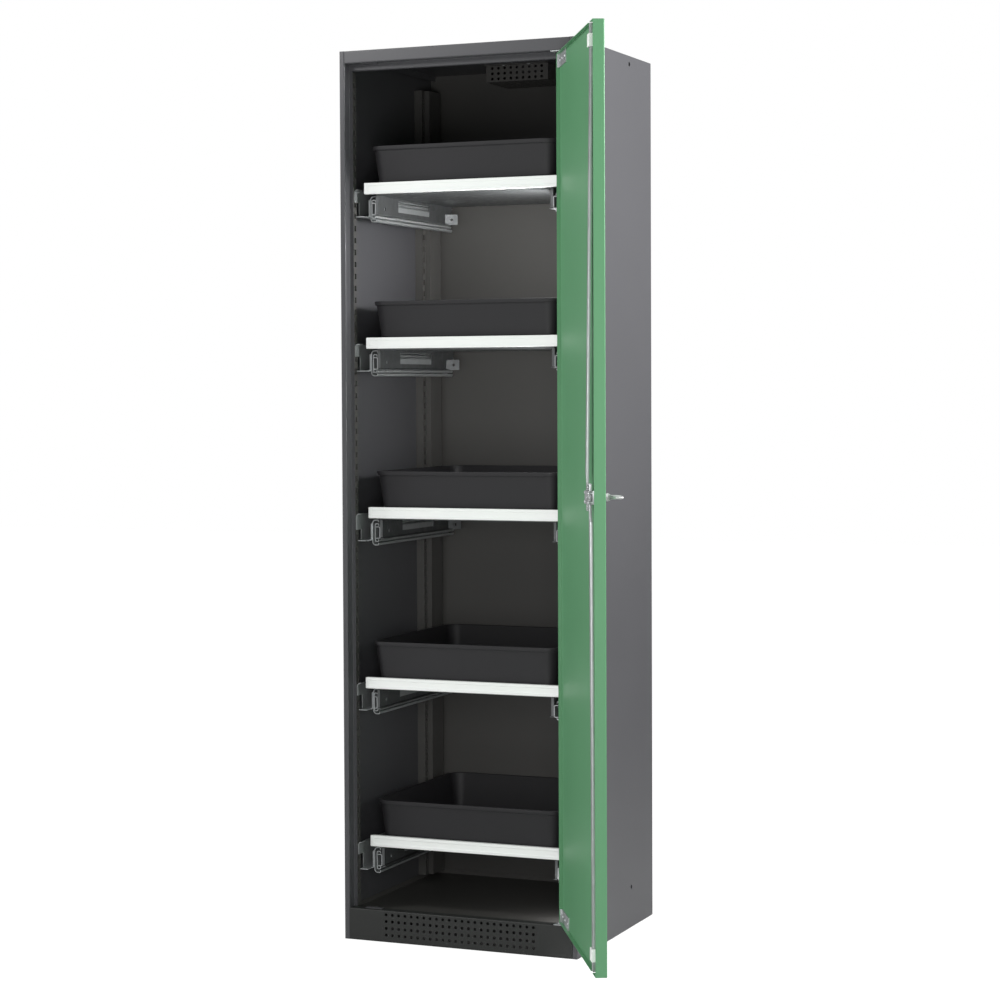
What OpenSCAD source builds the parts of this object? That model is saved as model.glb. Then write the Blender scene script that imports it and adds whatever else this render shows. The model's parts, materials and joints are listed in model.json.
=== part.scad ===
// Reagent drawer cabinet: a tall sheet steel cabinet with one hinged door, five
// telescopic drawers with plastic trays, and a rod lock worked by a wing handle.
// Every sub-part is drawn in cabinet coordinates: x from the left outer side,
// y back from the front plane, z up from the floor. cab() puts them in the
// part's own frame, whose origin is the middle of the body on the floor.

/* [Cabinet body] */
// Outer width of the body
body_w = 545; // [530:5:620]
// Outer depth of the body
body_d = 510; // [500:5:600]
// Height of the body without the exhaust spigot
body_h = 1950; // [1940:5:2050]
// Thickness of the body and door sheet
sheet = 1.2; // [1:0.1:1.5]
// Width of the front lip of each stile
stile_lip = 12.2; // [11:0.1:13]
// Width of the stop lip behind the door edge
stop_lip = 7.8; // [7:0.1:9]
// Depth of the rabbet that the door closes into
rabbet_d = 26; // [26:0.5:30]
// Height of the front lip of the top rail
rail_h = 27; // [25:0.5:30]
// Height of the perforated plinth
plinth_h = 69; // [66:0.5:74]
// Level of the floor pan's upper face
floor_z = 58; // [56:0.5:60]

/* [Plinth grille] */
// Hole diameter of the perforation
grille_hole_d = 6.5; // [5:0.1:8]
// Pitch of the perforation
grille_pitch = 15; // [13:0.1:16]
// Columns of holes in the plinth
grille_cols = 24; // [10:1:28]
// Rows of holes in the plinth
grille_rows = 4; // [2:1:4]

/* [Door] */
// Thickness of the door
door_t = 23; // [20:0.1:24]
// Gap between the door's free edge and the stile
door_gap_free = 3; // [2:0.1:5]
// Gap between the door's hinge edge and the stile
door_gap_hinge = 1.8; // [1.5:0.1:3]
// Gap between the plinth and the door
door_gap_bottom = 6; // [5.5:0.1:10]
// Gap between the door and the top rail
door_gap_top = 7; // [3.5:0.1:8]
// Angle that the door stands open
door_open = 118; // [100:1:120]
// Distance of the hinge axis from the door's hinge edge
pivot_inset = 7.4; // [7:0.1:8]
// Distance of the hinge axis behind the front plane
pivot_y = 3.9; // [3.8:0.05:4.2]
// Diameter of the hinge pins
pin_d = 5; // [4.5:0.1:5.2]
// Depth of the recess on the door's inner side
recess_d = 8; // [6:0.5:9]

/* [Rod lock] */
// Distance of the lock spindle from the door's free edge
spindle_inset = 50; // [46:1:56]
// Height of the lock spindle above the floor
spindle_z = 1001; // [985:1:1015]
// Teeth of the lock pinion
pinion_teeth = 12; // [11:1:12]
// Module of the pinion and racks
gear_module = 2; // [1.9:0.05:2]
// Width of the lock rods
rod_w = 16; // [12:0.5:17]
// Thickness of the lock rods
rod_t = 5; // [3:0.5:5]
// Length of the wing grip
grip_l = 62; // [50:1:80]
// Reach of the wing grip from the rosette
grip_reach = 37; // [30:1:45]
// Diameter of the rosette
rosette_d = 40; // [34:1:46]

/* [Drawers] */
// Level of the underside of each drawer's front bar
bar_z = [1640, 1301.5, 928, 553.5, 200];
// How far each drawer stands pulled out
pull_out = [13, 7, 0, 20, 0];
// Distance of a closed front bar behind the front plane
bar_y = 45.5; // [45.5:0.5:50]
// Distance of the front bars from each side of the body
bar_inset = 42.7; // [42.5:0.1:46]
// Height of the front bars
bar_h = 24.5; // [22:0.5:28]
// Thickness of the front bars
bar_t = 12; // [11:0.5:14]
// Height of a tray above its deck
tray_h = 105; // [90:1:120]
// Distance of a tray's base from each side of the body
tray_inset = 70; // [69:0.5:82]
// Flare of the tray walls on each side
tray_flare = 15; // [8:0.5:16]
// Gap between the trays and the back panel
tray_back_gap = 8; // [6:0.5:14]
// Wall of the trays
tray_wall = 3; // [2.5:0.1:4]

/* [Telescopic slides] */
// Distance of the fixed slide member from the body's side
slide_inset = 46.5; // [46:0.1:48]
// Height of the fixed slide member
slide_h = 57; // [54:0.5:58]
// Width of a slide
slide_w = 19; // [19:0.1:19.4]
// Wall of the slide members
slide_wall = 1.8; // [1.6:0.1:2]
// Gap between the slides and the back panel
slide_back_gap = 19.6; // [14:0.2:30]
// Diameter of the large slide balls
ball_d = 6; // [5.6:0.1:6]
// Diameter of the small slide balls
small_ball_d = 5; // [4.6:0.1:5]
// Running clearance of the balls
ball_gap = 0.1; // [0.08:0.01:0.12]

/* [Posts] */
// Pitch of the slots in the posts
slot_pitch = 26.2; // [25:0.1:30]
// Height of one slot
slot_h = 12; // [10:0.5:13]
// Width of one slot
slot_w = 8; // [5:0.1:8.5]
// Height of the foot of the lowest slot
slot_z = 92.5; // [86:0.5:100]

/* [Exhaust and side holes] */
// Outside diameter of the exhaust spigot
spigot_d = 75; // [60:1:80]
// Height of the exhaust spigot above the roof
spigot_h = 42; // [35:1:42]
// Distance of the spigot's axis from the back
spigot_back = 80; // [70:1:90]
// Diameter of the joining holes in the sides
side_hole_d = 10; // [8:0.5:12]
// Distance of the joining holes from the back
side_hole_back = 153; // [150:1:200]
// Distance of the upper joining holes below the top
side_hole_top = 19; // [18:1:24]
// Height of the lower joining holes
side_hole_z = 91; // [80:1:95]

/* [Hidden] */
$fn = 48;
eps = 0.01;
body_color = "#3e3e40";
interior_color = "#4b4846";
door_color = "#5a9a6c";
steel_color = "#b9bcbf";
bar_color = "#eef0ee";
tray_color = "#333035";
guide_color = "#e6ece6";

// body
half = sheet / 2;
bend_r = 1.2;
bend_steps = 4;
edge_r = 2;
inner_x = stile_lip + stop_lip;
door_stop_y = rabbet_d - sheet;
flat_y = door_stop_y - bend_r;
rail_z = body_h - rail_h;
rail_stop_z = rail_z - 14.5;
rail_return = 12;
roof_front_y = 10;
plinth_foot = 12;
plinth_drop = 15;
back_lip = 15;
rib_w = 40;
rib_end = 30;
back_y = body_d - 2 * sheet;
floor_front_y = rabbet_d + 1;
upstand_h = 10;
mid_x = body_w / 2;
spigot_y = body_d - spigot_back;
spigot_wall = 1.3;
spigot_clear = 0.1;
roof_flange = 13;

// door
door_x1 = body_w - stile_lip - door_gap_hinge;
door_x0 = stile_lip + door_gap_free;
door_z0 = plinth_h + door_gap_bottom;
door_z1 = rail_z - door_gap_top;
pivot_x = door_x1 - pivot_inset;
liner_y = door_t - recess_d;
pin_r = pin_d / 2;
pin_clear = 0.05;
pin_fit = 0.02;
pin_hole_r = pin_r + 0.1;
bracket_t = 2;
bracket_w = 40;
bracket_screw_r = 3.5;
bracket_screw_x = [pivot_x - 25, pivot_x - 13];
bracket_screw_y = 14;
hinge_leaf_w = 95;
hinge_leaf_h = 28;
leaf_t = 2;
leaf_edge = 1.5;
hinge_leaf_x = door_x1 - sheet - hinge_leaf_w;
hinge_leaf_z = [door_z0 + sheet, door_z1 - sheet - hinge_leaf_h];
hinge_screw_x = [hinge_leaf_x + 9, hinge_leaf_x + 46, hinge_leaf_x + 81];
hinge_screw_r = 4;
lock_screw_r = 3;
cover_screw_r = 4;
screw_clear = 0.1;
stiffener_half = 39;
stiffener_foot = 21;
stiffener_end = 40;

// lock
spindle_x = door_x0 + spindle_inset;
spindle_r = 6;
spindle_clear = 0.05;
pitch_r = gear_module * pinion_teeth / 2;
pressure_angle = 20;
rack_add = 1.3;
rack_ded = 2.3;
backlash = 0.25;
rod_y = door_t;
rod_stroke = pitch_r * PI / 2;
rod_slack = 6;
rod_guide_y = liner_y + 1.5;
rack_half = 26;
rack_back = 5.8;
guide_h = 25;
guide_w = 24;
guide_margin = 22;
guide_proud = 1.8;
guide_clear = 0.3;
guide_reach = guide_margin + guide_h + rod_stroke + rod_slack;
lock_half_w = 27;
lock_half_h = 13;
lock_plate_t = 1.5;
lock_screw_l = 5;
pillar_r = 3;
pillar_x = lock_half_w - pillar_r - 0.2;
pillar_z = lock_half_h - pillar_r - 1;
lock_top_y = rod_y + rod_t + 0.7;
rod_top_z = door_z1 - 2;
rod_bottom_z = door_z0 + 2;
keeper_slot_w = rod_w + 4;
keeper_slot_d = rod_t + 4;
keeper_margin = 10;
keeper_lip = 3;
keeper_t = 1.5;
keeper_rim = 1;
keeper_y = rod_guide_y + rod_t / 2;
rosette_t = 3;
neck_r = 8;
grip_t = 7;

// drawers
bar_w = body_w - 2 * bar_inset;
bar_cap = 8;
bar_edge = 6;
bar_groove = 0.8;
bar_wall = 1.5;
bar_chamfer = 1;
deck_t = 1.5;
flange_y = bar_y + bar_t;
tray_gap = 0.4;
tray_rim_h = 9;
tray_rim_out = 3.5;
tray_corner = 18;
tray_base_w = body_w - 2 * tray_inset;
tray_y = flange_y + deck_t + tray_gap + tray_flare * (bar_h + 1) / tray_h;
tray_base_d = back_y - tray_back_gap - tray_rim_out - tray_flare - tray_y;
plate_x = slide_inset + slide_w;
slide_l = back_y - slide_back_gap - flange_y;
slide_end_y = flange_y + slide_l;
plate_drop = 44.5;
plate_bend = 1.5;
plate_foot = 9;
plate_lip = 6;
window_y = 120;
window_l = 177;
window_z = -33;
window_h = 25;
plate_hole_y = 46;
plate_hole_z = -30;
plate_hole_d = 8;
ear_y = slide_end_y - 42;
ear_d = 22;
ear_top = -21.5;
ear_hole_d = 7;

// slides: heights below the underside of the front bar
slide_mid = -32;
half_out = slide_h / 2;
big_z = half_out - slide_wall - ball_gap - ball_d / 2;
mid_top = big_z - ball_d / 2 - ball_gap;
small_z = mid_top - slide_wall - ball_gap - small_ball_d / 2;
in_top = small_z - small_ball_d / 2 - ball_gap;
mid_x0 = 6;
mid_x1 = 16.3;
mid_lip = 5;
big_x = 10.5;
small_x = 11.6;
in_x0 = 9;
cage_l = 150;
cage_w = 3.2;
cage_t = 1;
cage_balls = 4;
bracket_gap_x = 20;
bracket_wall = 2;
bracket_low = -50;
bracket_high = 9;
bracket_up = -12;
bracket_y = 30;
bracket_body_y = 54;
curl_r = 5;
curl_x = 8.5;
curl_z = 10;
curl_low = -17;

// posts
post_y = 27;
post_d = 16;
post_face_x = bracket_gap_x;
post_wall = 1.5;
rear_post_y = body_d - 100;
rear_post_d = 80;
rear_post_w = 32;
post_z0 = floor_z + upstand_h + 2;
post_z1 = rail_stop_z - 2;
hook_h = 8;
hook_gap = 0.2;
hook_drop = 5;
hook_w = slot_w - 0.6;

// exhaust cover
cover_w = 150;
cover_y = spigot_y - 60;
cover_h = 38;
cover_flange = 12;
cover_screw_x = 30;

// base
base_flange = 30;
base_wall = 2;
base_end = 12;
cross_half = 40;
foot_x = 50;
foot_y = 75;
foot_r = 15;
foot_h = 5;
foot_taper = 2;
stud_r = 5;
stud_l = 50;
nut_r = 9.2;
nut_h = 8;
gusset_half = 22;
gusset_z = 26;
gusset_t = 3;

// ---------- placing ----------

// Cabinet coordinates to the part's frame
module cab() {
    translate([-body_w / 2, -body_d / 2, 0]) children();
}

// Something on the left, and its mirror image on the right
module both_sides() {
    children();
    translate([body_w, 0, 0]) mirror([1, 0, 0]) children();
}

// The same for a flat outline
module both_sides_flat() {
    children();
    translate([body_w, 0]) mirror([1, 0]) children();
}

// A piece of the closed door, swung to where the door stands
module on_door() {
    cab() translate([pivot_x, pivot_y, 0]) rotate([0, 0, door_open])
        translate([-pivot_x, -pivot_y, 0]) children();
}

// A profile in x and z, carried back from y0 by len
module along_y(y0, len) {
    translate([0, y0 + len, 0]) rotate([90, 0, 0]) linear_extrude(len) children();
}

// A profile in y and z, carried right from x0 by len
module along_x(x0, len) {
    translate([x0, 0, 0]) rotate([90, 0, 90]) linear_extrude(len) children();
}

// A box between two corners
module span(a, b) {
    translate(a) cube(b - a);
}

// ---------- bent sheet ----------

// Left hand side of a direction, and the direction from one point to the next
function sheet_side(d) = [-d[1], d[0]];
function heading(a, b) = (b - a) / norm(b - a);

// Arc round corner p between directions d1 and d2, on side s of a strip of thickness t
function bend_points(p, d1, d2, s, r, t) =
    let (turn = sign(d1[0] * d2[1] - d1[1] * d2[0]), mid = r + t / 2,
        c = p + (d2 - d1) * mid, k = mid - s * turn * t / 2, m = sheet_side(d1))
    [for (i = [0 : bend_steps]) let (a = turn * 90 * i / bend_steps)
        c - turn * k * [m[0] * cos(a) - m[1] * sin(a), m[0] * sin(a) + m[1] * cos(a)]];

// One side of a strip along a path of square corners
function strip_edge(path, s, r, t) =
    let (n = len(path), d = [for (i = [1 : n - 1]) heading(path[i - 1], path[i])])
    concat([path[0] + sheet_side(d[0]) * s * t / 2],
        [for (i = [1 : n - 2]) each bend_points(path[i], d[i - 1], d[i], s, r, t)],
        [path[n - 1] + sheet_side(d[n - 2]) * s * t / 2]);

// Bent strip of thickness t along the middle line of its section
module strip(path, r, t) {
    back = strip_edge(path, -1, r, t);
    polygon(concat(strip_edge(path, 1, r, t),
        [for (i = [len(back) - 1 : -1 : 0]) back[i]]));
}

// Outline from a to b with the two corners of its lower side rounded
module folded_outline(a, b, d) {
    translate([a + edge_r, 0]) square([b - a - 2 * edge_r, d]);
    translate([a, edge_r]) square([b - a, d - edge_r]);
    for (x = [a + edge_r, b - edge_r]) translate([x, edge_r]) circle(edge_r);
}

// ---------- body ----------

// One bent sheet: stop lip, rabbet wall, front lip, outer skin and back lip
module side_profile() {
    strip([[inner_x, rabbet_d - half], [stile_lip - half, rabbet_d - half],
        [stile_lip - half, half], [half, half], [half, body_d - half],
        [back_lip, body_d - half]], bend_r, sheet);
}

// The skin is also turned in at its top and bottom
module side_panel() {
    end = bend_r + sheet;
    intersection() {
        union() {
            linear_extrude(body_h) side_profile();
            for (z = [0, body_h - sheet])
                span([half, end, z], [stile_lip - half, body_d - end, z + sheet]);
        }
        along_y(-1, body_d + 2) mirror([1, -1]) folded_outline(0, body_h, inner_x + 1);
    }
}

module left_side_panel() {
    color(body_color) cab() side_panel();
}

module right_side_panel() {
    color(body_color) cab() translate([body_w, 0, 0]) mirror([1, 0, 0]) difference() {
        side_panel();
        for (z = [side_hole_z, body_h - side_hole_top])
            translate([-1, body_d - side_hole_back, z]) rotate([0, 90, 0])
                cylinder(d = side_hole_d, h = sheet + 2);
    }
}

module back_panel() {
    x0 = sheet + bend_r;
    color(interior_color) cab() {
        span([x0, back_y, roof_front_y], [body_w - x0, body_d - sheet, body_h - sheet]);
        for (x = [body_w / 3, 2 * body_w / 3])
            span([x - rib_w / 2, body_d - sheet, rib_end],
                [x + rib_w / 2, body_d, body_h - rib_end]);
    }
}

module roof_panel() {
    color(body_color) cab() {
        translate([0, 0, body_h - sheet]) linear_extrude(sheet) difference() {
            translate([stile_lip, roof_front_y])
                square([body_w - 2 * stile_lip, body_d - sheet - roof_front_y]);
            both_sides_flat() side_profile();
            translate([mid_x, spigot_y]) circle(d = spigot_d + 2 * spigot_clear, $fn = 96);
        }
        both_sides()
            span([stile_lip, floor_front_y, body_h - roof_flange],
                [stile_lip + sheet, back_y, body_h - sheet]);
    }
}

// Bent front member, whose rear part ends at the stop lips of the sides
module front_member(path) {
    along_x(inner_x, body_w - 2 * inner_x) strip(path, bend_r, sheet);
    along_x(stile_lip, body_w - 2 * stile_lip) intersection() {
        strip(path, bend_r, sheet);
        square([flat_y, body_h]);
    }
}

// Holes that the lock rod's tip and the hinge pin pass through
module rod_and_pin_holes(z) {
    translate([spindle_x - keeper_slot_w / 2, keeper_y - keeper_slot_d / 2, z - 1])
        cube([keeper_slot_w, keeper_slot_d, sheet + 2]);
    translate([pivot_x, pivot_y, z - 1]) cylinder(r = pin_hole_r, h = sheet + 2);
}

module top_rail() {
    color(body_color) cab() difference() {
        front_member([[roof_front_y, body_h - half], [half, body_h - half],
            [half, rail_z + half], [rabbet_d - half, rail_z + half],
            [rabbet_d - half, rail_stop_z + half],
            [rabbet_d + rail_return, rail_stop_z + half]]);
        rod_and_pin_holes(rail_z);
    }
}

// Grid of round holes, centred on the cabinet's middle
module hole_grid(cols, rows, pitch_v, centre_v) {
    for (c = [0 : cols - 1], r = [0 : rows - 1])
        translate([mid_x + (c - (cols - 1) / 2) * grille_pitch,
            centre_v + (r - (rows - 1) / 2) * pitch_v]) circle(d = grille_hole_d, $fn = 24);
}

module perforated(w, h, cols, rows, pitch_v) {
    difference() {
        translate([mid_x - w / 2, 0]) square([w, h]);
        hole_grid(cols, rows, pitch_v, h / 2);
    }
}

module plinth_panel() {
    color(body_color) cab() difference() {
        front_member([[plinth_foot, half], [half, half], [half, plinth_h - half],
            [rabbet_d - half, plinth_h - half], [rabbet_d - half, plinth_h - plinth_drop]]);
        along_y(-1, sheet + 2)
            hole_grid(grille_cols, grille_rows, grille_pitch, plinth_h / 2 + 3);
        rod_and_pin_holes(plinth_h - sheet);
    }
}

module floor_pan() {
    bottom = floor_z - sheet;
    color(interior_color) cab() {
        span([inner_x, rabbet_d, bottom], [body_w - inner_x, floor_front_y + 1, floor_z]);
        span([sheet, floor_front_y, bottom], [body_w - sheet, back_y, floor_z]);
        span([2 * sheet, back_y - sheet, floor_z],
            [body_w - 2 * sheet, back_y, floor_z + upstand_h]);
        both_sides()
            span([sheet, floor_front_y, floor_z], [2 * sheet, back_y, floor_z + upstand_h]);
    }
}

// Two side channels, a cross channel and a gusset for each foot
module base_frame() {
    low = sheet;
    top = floor_z - sheet;
    end_y = body_d - base_end;
    y0 = body_d / 2 - cross_half;
    y1 = body_d / 2 + cross_half;
    color("dimgray") cab() difference() {
        union() {
            both_sides() {
                along_y(floor_front_y, end_y - floor_front_y) polygon([[sheet, low],
                    [base_flange, low], [base_flange, low + base_wall],
                    [sheet + base_wall, low + base_wall],
                    [sheet + base_wall, top - base_wall],
                    [base_flange, top - base_wall], [base_flange, top], [sheet, top]]);
                for (y = [foot_y, body_d - foot_y])
                    span([sheet + eps, y - gusset_half, gusset_z],
                        [foot_x + gusset_half, y + gusset_half, gusset_z + gusset_t]);
            }
            along_x(base_flange - 1, body_w - 2 * base_flange + 2) polygon([
                [y0, 0], [y1, 0], [y1, top], [y1 - base_wall, top],
                [y1 - base_wall, base_wall], [y0 + base_wall, base_wall],
                [y0 + base_wall, top], [y0, top]]);
        }
        for (x = [foot_x, body_w - foot_x], y = [foot_y, body_d - foot_y])
            translate([x, y, gusset_z - 1]) cylinder(r = stud_r + 0.1, h = gusset_t + 2);
    }
}

module levelling_feet() {
    color(steel_color) cab()
        for (x = [foot_x, body_w - foot_x], y = [foot_y, body_d - foot_y])
            translate([x, y, 0]) {
                cylinder(r1 = foot_r, r2 = foot_r - foot_taper, h = foot_h);
                cylinder(r = stud_r, h = stud_l);
                for (z = [gusset_z - nut_h, gusset_z + gusset_t])
                    translate([0, 0, z]) cylinder(r = nut_r, h = nut_h, $fn = 6);
            }
}

// Face of a post, seen from inside the cabinet, with its row of slots
module slotted_face(w) {
    difference() {
        translate([0, post_z0]) square([w, post_z1 - post_z0]);
        for (z = [slot_z : slot_pitch : post_z1 - slot_h - 6])
            translate([w / 2 - slot_w / 2, z]) square([slot_w, slot_h]);
    }
}

// Channel post against the side skin, open towards the skin
module post(y0, d, face_x) {
    translate([face_x - post_wall, y0, 0]) rotate([90, 0, 90])
        linear_extrude(post_wall) slotted_face(d);
    for (y = [y0, y0 + d - post_wall])
        span([sheet, y, post_z0], [face_x, y + post_wall, post_z1]);
}

module front_posts() {
    color(interior_color) cab() both_sides() post(post_y, post_d, post_face_x);
}

// The rear posts have a wider channel behind the row of slots
module rear_posts() {
    color(interior_color) cab() both_sides() {
        post(rear_post_y, post_d, post_face_x);
        post_leaf(rear_post_y + post_d, rear_post_y + rear_post_d);
    }
}

module post_leaf(y0, y1) {
    translate([0, 0, post_z0]) linear_extrude(post_z1 - post_z0) polygon([
        [sheet, y0], [rear_post_w, y0], [rear_post_w, y1], [sheet, y1], [sheet, y1 - post_wall],
        [rear_post_w - post_wall, y1 - post_wall], [rear_post_w - post_wall, y0 + post_wall],
        [sheet, y0 + post_wall]]);
}

module exhaust_spigot() {
    r = spigot_d / 2;
    color(body_color) cab() translate([mid_x, spigot_y, 0])
        rotate_extrude($fn = 96) polygon([[r - spigot_wall, body_h - sheet - 8],
            [r, body_h - sheet - 8], [r, body_h], [r + 14, body_h], [r + 14, body_h + 1.5],
            [r, body_h + 1.5], [r, body_h + spigot_h], [r - spigot_wall, body_h + spigot_h]]);
}

// Perforated hood under the roof, in front of the spigot
module exhaust_cover() {
    top = body_h - sheet;
    x0 = mid_x - cover_w / 2;
    x1 = mid_x + cover_w / 2;
    color(interior_color) cab() difference() {
        union() {
            along_y(cover_y, sheet) translate([0, top - cover_h])
                perforated(cover_w, cover_h, 9, 3, 12);
            translate([0, cover_y, top - cover_h])
                linear_extrude(sheet)
                    perforated(cover_w, back_y - cover_y, 9, 8, grille_pitch);
            for (x = [x0, x1 - sheet])
                span([x, cover_y, top - cover_h], [x + sheet, back_y, top]);
            span([x0, cover_y - cover_flange, top - sheet], [x1, cover_y + eps, top]);
        }
        for (x = [-cover_screw_x, cover_screw_x])
            translate([mid_x + x, cover_y - cover_flange / 2, top - 4])
                cylinder(r = cover_screw_r / 2 + screw_clear, h = 8, $fn = 24);
    }
}

// ---------- fixed hinge and lock parts ----------

module hinge_bracket(z) {
    difference() {
        span([pivot_x - bracket_w + 7, 0.2, z], [pivot_x + 7, flat_y, z + bracket_t]);
        translate([pivot_x, pivot_y, z - 1])
            cylinder(r = pin_r + pin_clear, h = bracket_t + 2);
        for (x = bracket_screw_x)
            translate([x, bracket_screw_y, z - 1])
                cylinder(r = bracket_screw_r / 2 + screw_clear, h = bracket_t + 2, $fn = 24);
    }
}

module hinge_brackets() {
    color(steel_color) cab() {
        hinge_bracket(plinth_h);
        hinge_bracket(rail_z - bracket_t);
    }
}

module keeper(z) {
    w = keeper_slot_w + 2 * keeper_margin;
    difference() {
        span([spindle_x - w / 2, keeper_y - keeper_slot_d / 2 - keeper_lip, z],
            [spindle_x + w / 2, flat_y, z + keeper_t]);
        translate([spindle_x - keeper_slot_w / 2 + keeper_rim,
            keeper_y - keeper_slot_d / 2 + keeper_rim, z - 1])
            cube([keeper_slot_w - 2 * keeper_rim, keeper_slot_d - 2 * keeper_rim,
                keeper_t + 2]);
    }
}

module keeper_plates() {
    color(body_color) cab() {
        keeper(plinth_h);
        keeper(rail_z - keeper_t);
    }
}

// ---------- slides ----------

// Section of the bracket that carries a slide: post leaf, floor and slide leaf
module bracket_section() {
    x0 = bracket_gap_x + bracket_wall / 2;
    x1 = slide_inset - bracket_wall / 2;
    low = bracket_low + bracket_wall / 2;
    strip([[x0, bracket_high], [x0, low], [x1, low], [x1, bracket_up]],
        bracket_wall, bracket_wall);
}

// Underside of the hook, a little above the foot of the highest slot that it can use
function hook_z(z) = slot_z + slot_pitch * floor((z + 1 - slot_z) / slot_pitch) + hook_gap;

// Hook that goes through a slot and hangs down behind the post's face
module bracket_hook(y, z) {
    back_x = post_face_x - post_wall - hook_gap;
    along_y(y - hook_w / 2, hook_w) translate([0, hook_z(z)]) polygon([
        [bracket_gap_x + eps, 0], [bracket_gap_x + eps, hook_h], [back_x - post_wall, hook_h],
        [back_x - post_wall, -hook_drop], [back_x, -hook_drop], [back_x, 0]]);
}

// The front end has a leaf with a curled top edge, and the bare floor below it
module slide_bracket(z) {
    end_y = rear_post_y + post_d;
    front_l = bracket_body_y - bracket_y;
    x0 = bracket_gap_x + bracket_wall / 2;
    bend = 2 * bracket_wall;
    along_y(bracket_body_y, end_y - bracket_body_y) translate([0, z]) bracket_section();
    along_y(bracket_y, front_l + 1) translate([0, z])
        strip([[x0, min(curl_low, hook_z(z) - z - 2)], [x0, curl_z],
            [bracket_gap_x + curl_x, curl_z]], curl_r, bracket_wall);
    span([bracket_gap_x + bend, bracket_y, z + bracket_low],
        [slide_inset - bend, bracket_body_y + 1, z + bracket_low + bracket_wall]);
    bracket_hook(post_y + post_d / 2, z);
    bracket_hook(rear_post_y + post_d / 2, z);
}

module slide_brackets() {
    color(steel_color) cab() both_sides() for (z = bar_z) slide_bracket(z);
}

// Quarter bend of a rail wall, centred on the origin, from the x to the z side
module bend(r, wall) {
    intersection() {
        difference() {
            circle(r);
            circle(r - wall);
        }
        square(r);
    }
}

// Upper half of the fixed rail: web, bend, top flange and the lip that holds the balls
module cabinet_rail_half() {
    r = 8;
    lip_x = slide_w - 3.2;
    square([slide_wall, half_out - r]);
    translate([r, half_out - r]) mirror([1, 0]) bend(r, slide_wall);
    translate([r - eps, half_out - slide_wall]) square([lip_x - 3 - r + 2 * eps, slide_wall]);
    translate([lip_x - 3, half_out - 3]) bend(3, slide_wall);
    translate([lip_x - slide_wall, half_out - 5.5]) square([slide_wall, 2.5 + eps]);
}

// Upper half of the middle rail, between the two rows of balls
module mid_rail_half() {
    r = 4;
    translate([mid_x0, 0]) square([slide_wall, mid_top - r]);
    translate([mid_x0 + r, mid_top - r]) mirror([1, 0]) bend(r, slide_wall);
    translate([mid_x0 + r - eps, mid_top - slide_wall])
        square([mid_x1 - mid_x0 - 2 * r + 2 * eps, slide_wall]);
    translate([mid_x1 - r, mid_top - r]) bend(r, slide_wall);
    translate([mid_x1 - slide_wall, mid_top - mid_lip])
        square([slide_wall, mid_lip - r + eps]);
}

// Upper half of the drawer rail, open towards the side of the cabinet
module drawer_rail_half() {
    r = 4;
    x1 = slide_w;
    translate([x1 - slide_wall, 0]) square([slide_wall, in_top - r]);
    translate([x1 - r, in_top - r]) bend(r, slide_wall);
    translate([in_x0, in_top - slide_wall]) square([x1 - r - in_x0 + eps, slide_wall]);
}

module whole_section() {
    children();
    mirror([0, 1]) children();
}

module rail(z, y0, len) {
    along_y(y0, len) translate([slide_inset, z + slide_mid]) whole_section() children();
}

module cabinet_rails() {
    color(steel_color) cab() both_sides() for (z = bar_z)
        rail(z, flange_y, slide_l) cabinet_rail_half();
}

// A retainer strip with its balls, above and below the middle of the slide
module ball_cage(x, dz, d, y0) {
    step = cage_l / cage_balls;
    for (s = [-1, 1]) translate([x, y0, s * dz]) {
        span([-cage_w / 2, 0, -cage_t / 2], [cage_w / 2, cage_l, cage_t / 2]);
        for (i = [0 : cage_balls - 1])
            translate([0, step * (i + 0.5), 0]) sphere(d = d, $fn = 24);
    }
}

// Middle rails with the ball cages that run in them
module mid_rails(i) {
    y0 = flange_y - pull_out[i] / 2;
    color(steel_color) cab() both_sides() {
        rail(bar_z[i], y0, slide_l) mid_rail_half();
        translate([slide_inset, 0, bar_z[i] + slide_mid]) {
            ball_cage(big_x, big_z, ball_d, y0 + slide_l - cage_l - 30);
            ball_cage(small_x, small_z, small_ball_d, y0 + 8);
        }
    }
}

module drawer_rails(i) {
    color(steel_color) cab() both_sides()
        rail(bar_z[i], flange_y - pull_out[i], slide_l) drawer_rail_half();
}

// ---------- drawers ----------

module drawer_place(i) {
    cab() translate([0, -pull_out[i], bar_z[i]]) children();
}

// One bent sheet: deck, side plates on the drawer rails, and feet turned inward
module carrier_section() {
    x0 = plate_x + deck_t / 2;
    low = -1 - plate_drop + deck_t / 2;
    top = -1 - deck_t / 2;
    strip([[plate_x + plate_foot, low], [x0, low], [x0, top], [body_w - x0, top],
        [body_w - x0, low], [body_w - plate_x - plate_foot, low]], plate_bend, deck_t);
}

// What is cut from a side plate: the window, a bore, and the plate behind the ear
module plate_cuts() {
    translate([flange_y + window_y, window_z]) square([window_l, window_h]);
    translate([flange_y + plate_hole_y, plate_hole_z]) circle(d = plate_hole_d);
    translate([ear_y + 3, -plate_drop - 2])
        square([slide_l, plate_drop + 2 + ear_top]);
}

// Ear of the side plate, bent inward, with a hole
module carrier_ear() {
    k = deck_t * sqrt(2);
    low = -1 - plate_drop;
    h = ear_top - low;
    difference() {
        translate([0, 0, low]) linear_extrude(h) polygon([[plate_x, ear_y],
            [plate_x + ear_d, ear_y + ear_d], [plate_x + ear_d + k, ear_y + ear_d],
            [plate_x + k, ear_y]]);
        translate([plate_x + ear_d / 2 + k, ear_y + ear_d / 2 + 1, low + h / 2])
            rotate([0, 90, -45]) cylinder(d = ear_hole_d, h = 4 * deck_t, center = true);
    }
}

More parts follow.
